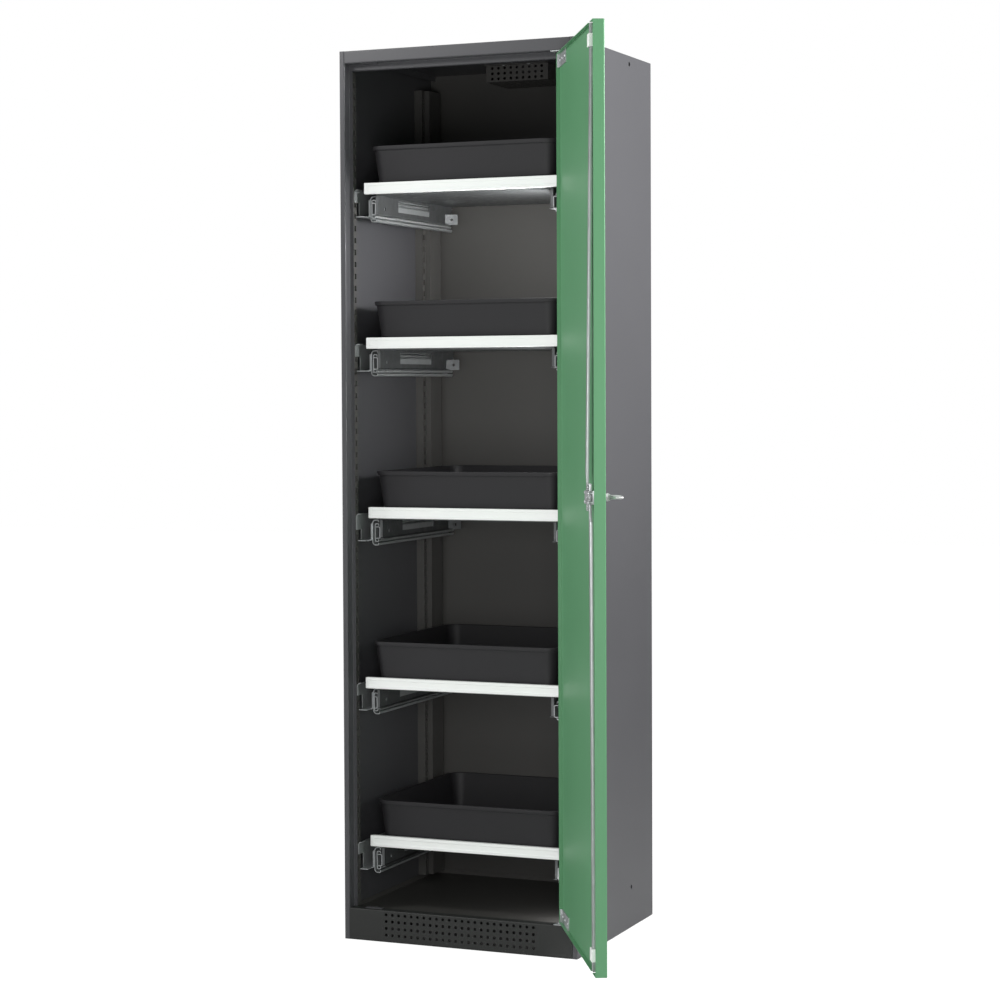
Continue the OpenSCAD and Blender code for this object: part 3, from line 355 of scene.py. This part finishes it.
def shell_piece(name, shells, finish, body, slot, *replaced):
    """One piece of several shells, each a pair of its rings and whether they close in a loop."""
    points, faces, start = [], [], 0
    for rings, loop in shells:
        rows, cols = rings.shape[:2]
        points.append(rings.reshape(-1, 3))
        own = shell_faces(rows, cols, loop)
        if not loop:
            own += [list(range(cols))[::-1], list(range((rows - 1) * cols, rows * cols))]
        faces += [[start + corner for corner in face] for face in own]
        start += rows * cols
    mesh = bpy.data.meshes.new(name)
    mesh.from_pydata(np.concatenate(points).tolist(), [], faces)
    shape = bmesh.new()
    shape.from_mesh(mesh)
    bmesh.ops.recalc_face_normals(shape, faces=shape.faces)
    shape.to_mesh(mesh)
    shape.free()
    mesh.shade_smooth()
    mesh.set_sharp_from_angle(angle=SHARP_ANGLE)
    return link_piece(name, mesh, finish, body, replaced)


def rounded_ring(half_x, half_y, radius, per_corner):
    """Rounded rectangle: corner k is centred at (sx (hx - r), sy (hy - r)) and turns from 90 k."""
    angles = (np.arange(4)[:, None] * math.pi / 2
              + np.linspace(0, math.pi / 2, per_corner)).ravel()
    signs = np.repeat([(1, 1), (-1, 1), (-1, -1), (1, -1)], per_corner, axis=0)
    centres = signs * (half_x - radius, half_y - radius)
    return centres + radius * np.stack([np.cos(angles), np.sin(angles)], 1)


def arc(centre, radius, start, end, count=6):
    """Points centre + r (cos a, sin a) for a from start to end, in degrees."""
    a = np.radians(np.linspace(start, end, count))
    return np.asarray(centre) + radius * np.stack([np.cos(a), np.sin(a)], 1)


def axis_frame(axis):
    """Two unit directions across an axis, and the axis itself, as the rows of a matrix."""
    axis = np.asarray(axis, float)
    side = np.cross(axis, (0, 0, 1) if abs(axis[2]) < NEARLY_UPRIGHT else (1, 0, 0))
    side /= np.linalg.norm(side)
    return np.array([side, np.cross(axis, side), axis])


def turned(profile, base, axis, samples):
    """Rings base + t axis + r (1 + k cos(6 a)) (cos a, sin a) for rows (r, t, k)."""
    side, other, axis = axis_frame(axis)
    a = np.linspace(0, 2 * math.pi, samples, endpoint=False)
    rows = np.asarray(profile, float)
    wave = rows[:, :1] * (1 + rows[:, 2:] * np.cos(STAR_LOBES * a))
    around = np.cos(a)[:, None] * side + np.sin(a)[:, None] * other
    return np.asarray(base) + rows[:, 1, None, None] * axis + wave[:, :, None] * around


def plain(profile):
    """The same profile with a third column of zeros: no lobes."""
    return np.column_stack([profile, np.zeros(len(profile))])


# %% [markdown]
# ## Trays
# Each tray is one moulding. Its wall is drawn as a section, a list of how far the outline has
# grown beyond the base and how high it is, and every point of the section becomes a rounded
# ring. The wall flares out, ends in a thick rim that overhangs by 3.5 mm, and comes down again
# inside to a floor with a generous fillet, so that a spill can be wiped out.

# %% Trays
DRAWERS = range(1, 6)
TRAY_FLARE, TRAY_RIM_OUT, TRAY_RIM_H, TRAY_WALL, TRAY_CORNER = 15.0, 3.5, 9.0, 3.0, 18.0
TRAY_FOOT_R, TRAY_FILLET, TRAY_EDGE_R = 4.0, 9.0, 1.2
TRAY_PER_CORNER = 8


def tray_section(height):
    """Growth and height, in mm, from the edge of the underside over the rim to the floor."""
    slope = TRAY_FLARE / height
    edge = TRAY_EDGE_R
    foot = arc((-TRAY_FOOT_R, TRAY_FOOT_R), TRAY_FOOT_R, -90, 0)
    low = height - TRAY_RIM_H
    under = [(slope * low, low), (slope * low + TRAY_RIM_OUT - edge, low)]
    outer = TRAY_FLARE + TRAY_RIM_OUT
    side = arc((slope * low + TRAY_RIM_OUT - edge, low + edge), edge, -90, 0)
    top = arc((outer - edge, height - edge), edge, 0, 90)
    inner = arc((TRAY_FLARE - TRAY_WALL + edge, height - edge), edge, 90, 180)
    bend = TRAY_WALL + TRAY_FILLET
    floor = arc((slope * bend - TRAY_WALL - TRAY_FILLET, bend), TRAY_FILLET, 0, -90)
    return np.concatenate([foot, under, side, top, inner, floor])


for number in DRAWERS:
    low, high = (np.array(p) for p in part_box(f"tray_{number}"))
    middle, half = (low + high) / 2, (high - low) / 2
    base_x, base_y = half[:2] / MM - TRAY_FLARE - TRAY_RIM_OUT
    rings = []
    for grow, rise in tray_section(2 * half[2] / MM):
        ring = rounded_ring(base_x + grow, base_y + grow, TRAY_CORNER + grow, TRAY_PER_CORNER)
        rings.append(np.column_stack([ring, np.full(len(ring), rise)]))
    rings = np.array(rings) * MM + (middle[0], middle[1], low[2])
    shell_piece(f"moulded_tray_{number}", [(rings, False)], tray_plastic, f"drawer_{number}",
                "tray_plastic", f"tray_{number}")
print("trays moulded")

# %% [markdown]
# ## Front bars
# A bar is an extruded tube with a shallow channel along its face, 0.8 mm deep, closed at both
# ends by a plain cap. Its ring gets four extra points on the face, where the channel's sides
# are. The rings run along x: an eased end, the plain cap, a hairline joint, then the channel.

# %% Front bars
BAR_EDGE_R, BAR_GROOVE, BAR_LAND, BAR_SLOPE = 1.3, 0.8, 6.0, 1.0
BAR_CAP, BAR_JOINT, BAR_EASE = 8.0, 0.3, 1.0
BAR_EASE_MIDDLE = 0.3
BAR_PER_CORNER = 6


def bar_ring(half_y, half_z, inset, groove):
    """The bar's section in y and z, shrunk by inset, with its face sunk by groove."""
    ring = rounded_ring(half_y - inset, half_z - inset, BAR_EDGE_R, BAR_PER_CORNER)
    rim = half_z - BAR_LAND
    face = [(-half_y + inset, rim), (-half_y + inset + groove, rim - BAR_SLOPE),
            (-half_y + inset + groove, BAR_SLOPE - rim), (-half_y + inset, -rim)]
    top = 2 * BAR_PER_CORNER
    return np.concatenate([ring[:top], face, ring[top:]])


def bar_rows(length):
    """Place along the bar, inset and depth of channel, mirrored about the middle."""
    joint = BAR_JOINT / 2
    left = [(0, BAR_EASE, 0), (BAR_EASE_MIDDLE, BAR_EASE_MIDDLE, 0), (BAR_EASE, 0, 0),
            (BAR_CAP - joint, 0, 0), (BAR_CAP - joint, joint, 0),
            (BAR_CAP + joint, joint, BAR_GROOVE), (BAR_CAP + joint, 0, BAR_GROOVE)]
    return left + [(length - x, inset, groove) for x, inset, groove in reversed(left)]


for number in DRAWERS:
    low, high = (np.array(p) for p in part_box(f"front_bar_{number}"))
    size = (high - low) / MM
    rings = []
    for x, inset, groove in bar_rows(size[0]):
        ring = bar_ring(size[1] / 2, size[2] / 2, inset, groove)
        rings.append(np.column_stack([np.full(len(ring), x), ring]))
    rings = np.array(rings) * MM + (low[0], (low[1] + high[1]) / 2, (low[2] + high[2]) / 2)
    shell_piece(f"extruded_bar_{number}", [(rings, False)], bar_coat, f"drawer_{number}",
                "bar_white", f"front_bar_{number}")
print("bars extruded")

# %% [markdown]
# ## Wing handle
# The handle turns about the lock's spindle, so it is built in the spindle's own directions:
# out of the door, along it, and up. Sections across the outward axis are superellipses,
# |u/a|^n + |w/b|^n = 1, that go from a round neck to a flat wing with full edges.

# %% Wing handle and rosette
turn = next(j for j in frame["joints"] if j["name"] == "handle_turn")
SPINDLE = np.array(turn["pos_m"])
OUT = np.array(turn["axis"], float)
OUT /= np.linalg.norm(OUT)
ALONG = np.cross((0, 0, 1), OUT)
UP = np.array((0.0, 0.0, 1.0))
GRIP_SAMPLES, GRIP_STEPS = 64, 60
# Distance from the door, half width, half thickness and exponent of the sections, in mm
GRIP_SECTIONS = np.array([
    (3.4, 7.2, 7.2, 2.0), (3.9, 7.9, 7.9, 2.0), (11.0, 7.9, 7.9, 2.0), (13.5, 9.5, 6.8, 2.2),
    (16.0, 16.0, 4.9, 2.6), (18.5, 24.5, 3.8, 3.0), (22.0, 29.3, 3.5, 3.2),
    (27.0, 30.9, 3.5, 3.4), (33.0, 30.2, 3.5, 3.4), (36.0, 28.9, 3.4, 3.2),
    (37.6, 27.3, 2.9, 3.0), (38.2, 25.8, 1.8, 2.6)])
ROSETTE_R, ROSETTE_T, ROSETTE_BORE, ROSETTE_EDGE_R = 20.0, 3.0, 6.05, 1.0
GROOVE_OUTER_R, GROOVE_INNER_R, GROOVE_DEPTH, GROOVE_SLOPE = 15.5, 14.3, 0.4, 0.3
ROSETTE_SAMPLES = 96


def superellipse(half_u, half_w, power):
    """Points (a sgn(cos t) |cos t|^(2/n), b sgn(sin t) |sin t|^(2/n))."""
    t = np.linspace(0, 2 * math.pi, GRIP_SAMPLES, endpoint=False)
    u, w = np.cos(t), np.sin(t)
    return (half_u * np.sign(u) * np.abs(u) ** (2 / power),
            half_w * np.sign(w) * np.abs(w) ** (2 / power))


def grip_rings():
    """Superellipses across the outward axis, between which the sections are interpolated."""
    known = GRIP_SECTIONS[:, 0]
    steps = np.linspace(known[0], known[-1], GRIP_STEPS)
    table = np.column_stack([np.interp(steps, known, GRIP_SECTIONS[:, k]) for k in (1, 2, 3)])
    rings = []
    for out, (a, b, n) in zip(steps, table):
        u, w = superellipse(a, b, n)
        rings.append(np.outer(u, ALONG) + np.outer(w, UP) + out * OUT)
    return SPINDLE + np.array(rings) * MM


shell_piece("wing_handle", [(grip_rings(), False)], nickel, "handle", "grip_metal",
            "handle_grip")
groove_floor = ROSETTE_T - GROOVE_DEPTH
rosette = np.concatenate([
    [(ROSETTE_BORE, 0), (ROSETTE_R, 0)],
    arc((ROSETTE_R - ROSETTE_EDGE_R, ROSETTE_T - ROSETTE_EDGE_R), ROSETTE_EDGE_R, 0, 90),
    [(GROOVE_OUTER_R, ROSETTE_T), (GROOVE_OUTER_R - GROOVE_SLOPE, groove_floor),
     (GROOVE_INNER_R + GROOVE_SLOPE, groove_floor), (GROOVE_INNER_R, ROSETTE_T),
     (ROSETTE_BORE, ROSETTE_T)]])
rosette_rings = turned(plain(rosette * MM), SPINDLE, OUT, ROSETTE_SAMPLES)
shell_piece("moulded_rosette", [(rosette_rings, True)], rosette_plastic, "door",
            "black_plastic", "handle_rosette")
print("handle made")

# %% [markdown]
# ## Screws
# A screw node holds several separate solids. Its points are sorted into solids by letting
# the lowest label spread along the edges until nothing changes. Each solid then gives its
# axis, its length and the radius of its head, and a turned screw with a star recess in a
# domed head takes its place.

# %% Screws
SCREW_SAMPLES = 36
WELD_DECIMALS = 6
# All as shares of the head's radius, but the number of steps and the exponent of the dome
SHANK_R, HEAD_H, SHANK_TIP_R, TIP_CHAMFER, HEAD_FOOT_R = 0.5, 0.5, 0.4, 0.1, 0.97
DOME_STEPS, DOME_DROP, DOME_POWER = 7, 0.42, 0.6
# Rows of the star recess: radius, depth below the crown, and how far its lobes swing
RECESS = ((0.34, 0.0, 0.09), (0.32, 0.04, 0.12), (0.31, 0.3, 0.12))


def solids_of(node):
    """The points of each separate solid of a node, as a list of arrays."""
    mesh = nodes[node].data
    points = np.empty(len(mesh.vertices) * 3)
    mesh.vertices.foreach_get("co", points)
    ends = np.empty(len(mesh.edges) * 2, int)
    mesh.edges.foreach_get("vertices", ends)
    points, place = np.unique(points.reshape(-1, 3).round(WELD_DECIMALS), axis=0, return_inverse=True)
    first, second = place.ravel()[ends.reshape(-1, 2)].T
    label = np.arange(len(points))
    settled = False
    while not settled:
        lowest = np.minimum(label[first], label[second])
        before = label.copy()
        np.minimum.at(label, first, lowest)
        np.minimum.at(label, second, lowest)
        settled = bool((before == label).all())
    return [points[label == own] for own in np.unique(label)]


def screw_profile(radius, length):
    """Rows (r, t, k) of a pan head screw of that head radius, from its tip to its recess."""
    shank, head = radius * SHANK_R, length - radius * HEAD_H
    dome = np.linspace(0, 1, DOME_STEPS)
    crown = np.column_stack([radius * (1 - DOME_DROP * dome ** 2),
                             head + radius * HEAD_H * dome ** DOME_POWER])
    lower = [(radius * SHANK_TIP_R, 0, 0), (shank, radius * TIP_CHAMFER, 0), (shank, head, 0),
             (radius * HEAD_FOOT_R, head, 0)]
    recess = [(radius * share, length - radius * depth, swing)
              for share, depth, swing in RECESS]
    return np.array(lower + plain(crown).tolist() + recess)


def screw_shells(node, axis):
    """A turned screw in the place of each solid of the node, its head towards axis."""
    axes = axis_frame(axis)
    shells = []
    for solid in solids_of(node):
        own = solid @ axes.T
        low, high = own.min(0), own.max(0)
        base = np.array([*(low[:2] + high[:2]) / 2, low[2]]) @ axes
        profile = screw_profile((high[0] - low[0]) / 2, high[2] - low[2])
        shells.append((turned(profile, base, axis, SCREW_SAMPLES), False))
    return shells


shell_piece("door_pan_screws", screw_shells("door_screws", -OUT), zinc, "door", "zinc_steel",
            "door_screws")
print("screws turned")

# %% [markdown]
# ## Spigot
# The exhaust spigot is spun from sheet: a tube with a flange on the roof, a rolled bead that
# holds the duct sleeve, and an eased mouth.

# %% Spigot
SPIGOT_R, SPIGOT_WALL, SPIGOT_FLANGE, SPIGOT_SAMPLES = 37.5, 1.3, 14.0, 128
FLANGE_T, FLANGE_EDGE_R, FLANGE_FILLET = 1.5, 0.5, 2.0
BEAD_R, BEAD_DROP, BEAD_INNER_SHARE, MOUTH_R = 1.0, 12, 0.8, 0.4


def spigot_profile(low, roof, top):
    """Radius and height, in mm, of the spun tube, once round its wall."""
    inner = SPIGOT_R - SPIGOT_WALL
    rim = SPIGOT_R + SPIGOT_FLANGE
    bead = arc((SPIGOT_R, top - BEAD_DROP), BEAD_R, -90, 90, 9)
    hollow = arc((inner, top - BEAD_DROP), BEAD_R * BEAD_INNER_SHARE, 90, -90, 9)
    edge = arc((rim - FLANGE_EDGE_R, roof + FLANGE_T - FLANGE_EDGE_R), FLANGE_EDGE_R, 0, 90, 4)
    bend_r = SPIGOT_R + FLANGE_FILLET
    bend = arc((bend_r, roof + FLANGE_T + FLANGE_FILLET), FLANGE_FILLET, -90, -180, 5)
    mouth = top - MOUTH_R
    return np.concatenate([
        [(inner, low), (SPIGOT_R, low), (SPIGOT_R, roof), (rim, roof)],
        edge, [(bend_r, roof + FLANGE_T)], bend, bead,
        arc((SPIGOT_R - MOUTH_R, mouth), MOUTH_R, 0, 90, 3),
        arc((inner + MOUTH_R, mouth), MOUTH_R, 90, 180, 3), hollow])


low, high = (np.array(p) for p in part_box("exhaust_spigot"))
roof_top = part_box("roof_panel")[1][2] / MM
axis_foot = ((low[0] + high[0]) / 2, (low[1] + high[1]) / 2, 0)
spigot = spigot_profile(low[2] / MM, roof_top, high[2] / MM)
spigot_rings = turned(plain(spigot * MM), axis_foot, UP, SPIGOT_SAMPLES)
shell_piece("spun_spigot", [(spigot_rings, True)], body_coat, "cabinet", "body_paint",
            "exhaust_spigot")
print("spigot spun")

# %% [markdown]
# ## Eased edges
# Stamped and moulded parts never have a knife edge: a tumbled stamping has about 0.3 mm, a
# moulding 0.8 mm. These pieces keep the exact shape of their part, with every sharp edge
# bevelled, because it is the edge that catches the light. The table gives each part its
# body, its slot and the width of its bevel in mm.

# %% Eased pieces
BEVEL_STEPS = 3
WELD_M = 1e-6
FLAT_ANGLE, BEVEL_ANGLE = math.radians(1), math.radians(40)
EASED = {
    "rod_guides": ("door", "guide_plastic", 0.8), "lock_case": ("door", "zinc_steel", 0.5),
    "hinge_plates": ("door", "zinc_steel", 0.3), "upper_rod": ("upper_rod", "zinc_steel", 0.4),
    "lower_rod": ("lower_rod", "zinc_steel", 0.4),
    "hinge_brackets": ("cabinet", "zinc_steel", 0.3),
}


def eased(node, body, width):
    """The node's own shape in one skin, with its edges rounded by width, in mm."""
    shape = bmesh.new()
    shape.from_mesh(nodes[node].data)
    bmesh.ops.remove_doubles(shape, verts=shape.verts, dist=WELD_M)
    bmesh.ops.dissolve_limit(shape, angle_limit=FLAT_ANGLE, verts=shape.verts,
                             edges=shape.edges)
    mesh = bpy.data.meshes.new(f"eased_{node}")
    shape.to_mesh(mesh)
    shape.free()
    mesh.shade_smooth()
    piece = link_piece(f"eased_{node}", mesh, finish_of(node), body, (node,))
    bevel = piece.modifiers.new("bevel", "BEVEL")
    bevel.width, bevel.segments = width * MM, BEVEL_STEPS
    bevel.limit_method, bevel.angle_limit = "ANGLE", BEVEL_ANGLE
    bevel.harden_normals = True


for node, (body, slot, width) in EASED.items():
    eased(node, body, width)
print("edges eased on", len(EASED), "parts")

# %% [markdown]
# ## The studio
# The floor and the backdrop are white to the camera, as in a catalogue picture. The camera
# sees a mix of a white glow and a plain pale floor, so that the cabinet keeps its soft
# shadow; every other ray meets the plain floor alone. Softboxes stand at the right, at the
# front and at the left. Small lamps behind the right upright light the inside, one in each
# bay, because in the photograph the left wall is bright at the top and dark further down.

# %% Floor, world and lamps
FLOOR_HALF = 14.0
FLOOR_GAP_M, FLOOR_ROUGHNESS = 0.0005, 0.9
FLOOR_GLOW = 0.75
GLOW_LEVEL = 1.29
WORLD_LEVEL = 0.34

# Name, place, target, size and watts of each softbox, in metres
SOFTBOXES = (
    ("front", (0.9, -2.8, 0.9), (0.4, -0.6, 0.7), 1.0, 27),
    ("right", (2.0, -0.2, 2.2), (0.27, 0, 1.75), 0.9, 98),
    ("left", (-1.1, -1.6, 2.6), (0, -0.25, 1.7), 0.6, 19),
    ("low left", (-3.2, -1.3, 0.7), (0.3, -0.4, 0.8), 1.6, 50),
)
# The small lamps behind the right upright: their x and y, and the height and watts of each
INSIDE_PLACE, INSIDE_TARGET, INSIDE_SIZE = (0.225, -0.17), (-0.27, -0.1), 0.1
INSIDE_LAMPS = ((1.52, 3.2), (1.17, 1.3), (0.82, 0.2), (0.45, 0.3), (0.12, 0.2))


def white_to_camera(tree):
    """1 for camera and transmission rays, and 0 for every other ray."""
    path = add_node(tree, "ShaderNodeLightPath")
    either = add_node(tree, "ShaderNodeMath", operation="MAXIMUM")
    tree.links.new(path.outputs["Is Camera Ray"], either.inputs[0])
    tree.links.new(path.outputs["Is Transmission Ray"], either.inputs[1])
    return either.outputs[0]


def inside_footprint(tree, place):
    """1 under the cabinet, where |x| and |y| are below the half sizes of its body."""
    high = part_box("right_side_panel")[1]
    apart = add_node(tree, "ShaderNodeSeparateXYZ", {"Vector": place})
    factors = []
    for axis, limit in (("X", high[0]), ("Y", high[1])):
        size = add_node(tree, "ShaderNodeMath", operation="ABSOLUTE")
        tree.links.new(apart.outputs[axis], size.inputs[0])
        test = add_node(tree, "ShaderNodeMath", operation="LESS_THAN")
        tree.links.new(size.outputs[0], test.inputs[0])
        test.inputs[1].default_value = float(limit)
        factors.append(test.outputs[0])
    both = add_node(tree, "ShaderNodeMath", operation="MULTIPLY")
    tree.links.new(factors[0], both.inputs[0])
    tree.links.new(factors[1], both.inputs[1])
    return both.outputs[0]


def studio_floor():
    """A plain pale floor, just below the feet, that glows white towards the camera."""
    corners = np.array([(-1, -1), (1, -1), (1, 1), (-1, 1)]) * FLOOR_HALF
    ground = float(cad_box[0][2]) - FLOOR_GAP_M
    mesh = bpy.data.meshes.new("floor")
    mesh.from_pydata([(*corner, ground) for corner in corners.tolist()], [], [(0, 1, 2, 3)])
    floor = bpy.data.objects.new("floor", mesh)
    bpy.context.scene.collection.objects.link(floor)
    material, tree, shader, place = new_material("white_floor")
    shader.inputs["Base Color"].default_value = linear("c8c8c8")
    shader.inputs["Roughness"].default_value = FLOOR_ROUGHNESS
    glow = add_node(tree, "ShaderNodeEmission", {"Color": (1, 1, 1, 1), "Strength": GLOW_LEVEL})
    outside = add_node(tree, "ShaderNodeMapRange",
                       {"Value": inside_footprint(tree, place), "To Min": FLOOR_GLOW,
                        "To Max": 0.0})
    share = add_node(tree, "ShaderNodeMath", operation="MULTIPLY")
    tree.links.new(white_to_camera(tree), share.inputs[0])
    tree.links.new(outside.outputs["Result"], share.inputs[1])
    mix = add_node(tree, "ShaderNodeMixShader", {"Fac": share.outputs[0]})
    tree.links.new(shader.outputs["BSDF"], mix.inputs[1])
    tree.links.new(glow.outputs["Emission"], mix.inputs[2])
    tree.links.new(mix.outputs["Shader"], tree.nodes["Material Output"].inputs["Surface"])
    mesh.materials.append(material)


def studio_world():
    """A grey surround that lights the cabinet evenly, and is white to the camera."""
    world = bpy.data.worlds.new("studio")
    bpy.context.scene.world = world
    world.use_nodes = True
    tree = world.node_tree
    seen = white_to_camera(tree)
    level = add_node(tree, "ShaderNodeMapRange",
                     {"Value": seen, "To Min": WORLD_LEVEL, "To Max": 1.0})
    back = tree.nodes["Background"]
    tree.links.new(level.outputs["Result"], back.inputs["Strength"])
    back.inputs["Color"].default_value = (1, 1, 1, 1)


def softbox(name, place, target, size, power):
    """A square area lamp at a place, turned to shine on a target."""
    data = bpy.data.lights.new(name, "AREA")
    data.energy, data.size = power, size
    lamp = bpy.data.objects.new(name, data)
    away = Vector(place) - Vector(target)
    lamp.rotation_euler = away.to_track_quat("Z", "Y").to_euler()
    lamp.location = place
    lamp.visible_camera = False
    bpy.context.scene.collection.objects.link(lamp)


studio_floor()
studio_world()
for name, place, target, size, power in SOFTBOXES:
    softbox(name, place, target, size, power)
for level, power in INSIDE_LAMPS:
    softbox(f"inside {level}", (*INSIDE_PLACE, level), (*INSIDE_TARGET, level), INSIDE_SIZE,
            power)
bpy.context.scene.view_settings.view_transform = "Standard"
print("lamps and floor are in place")
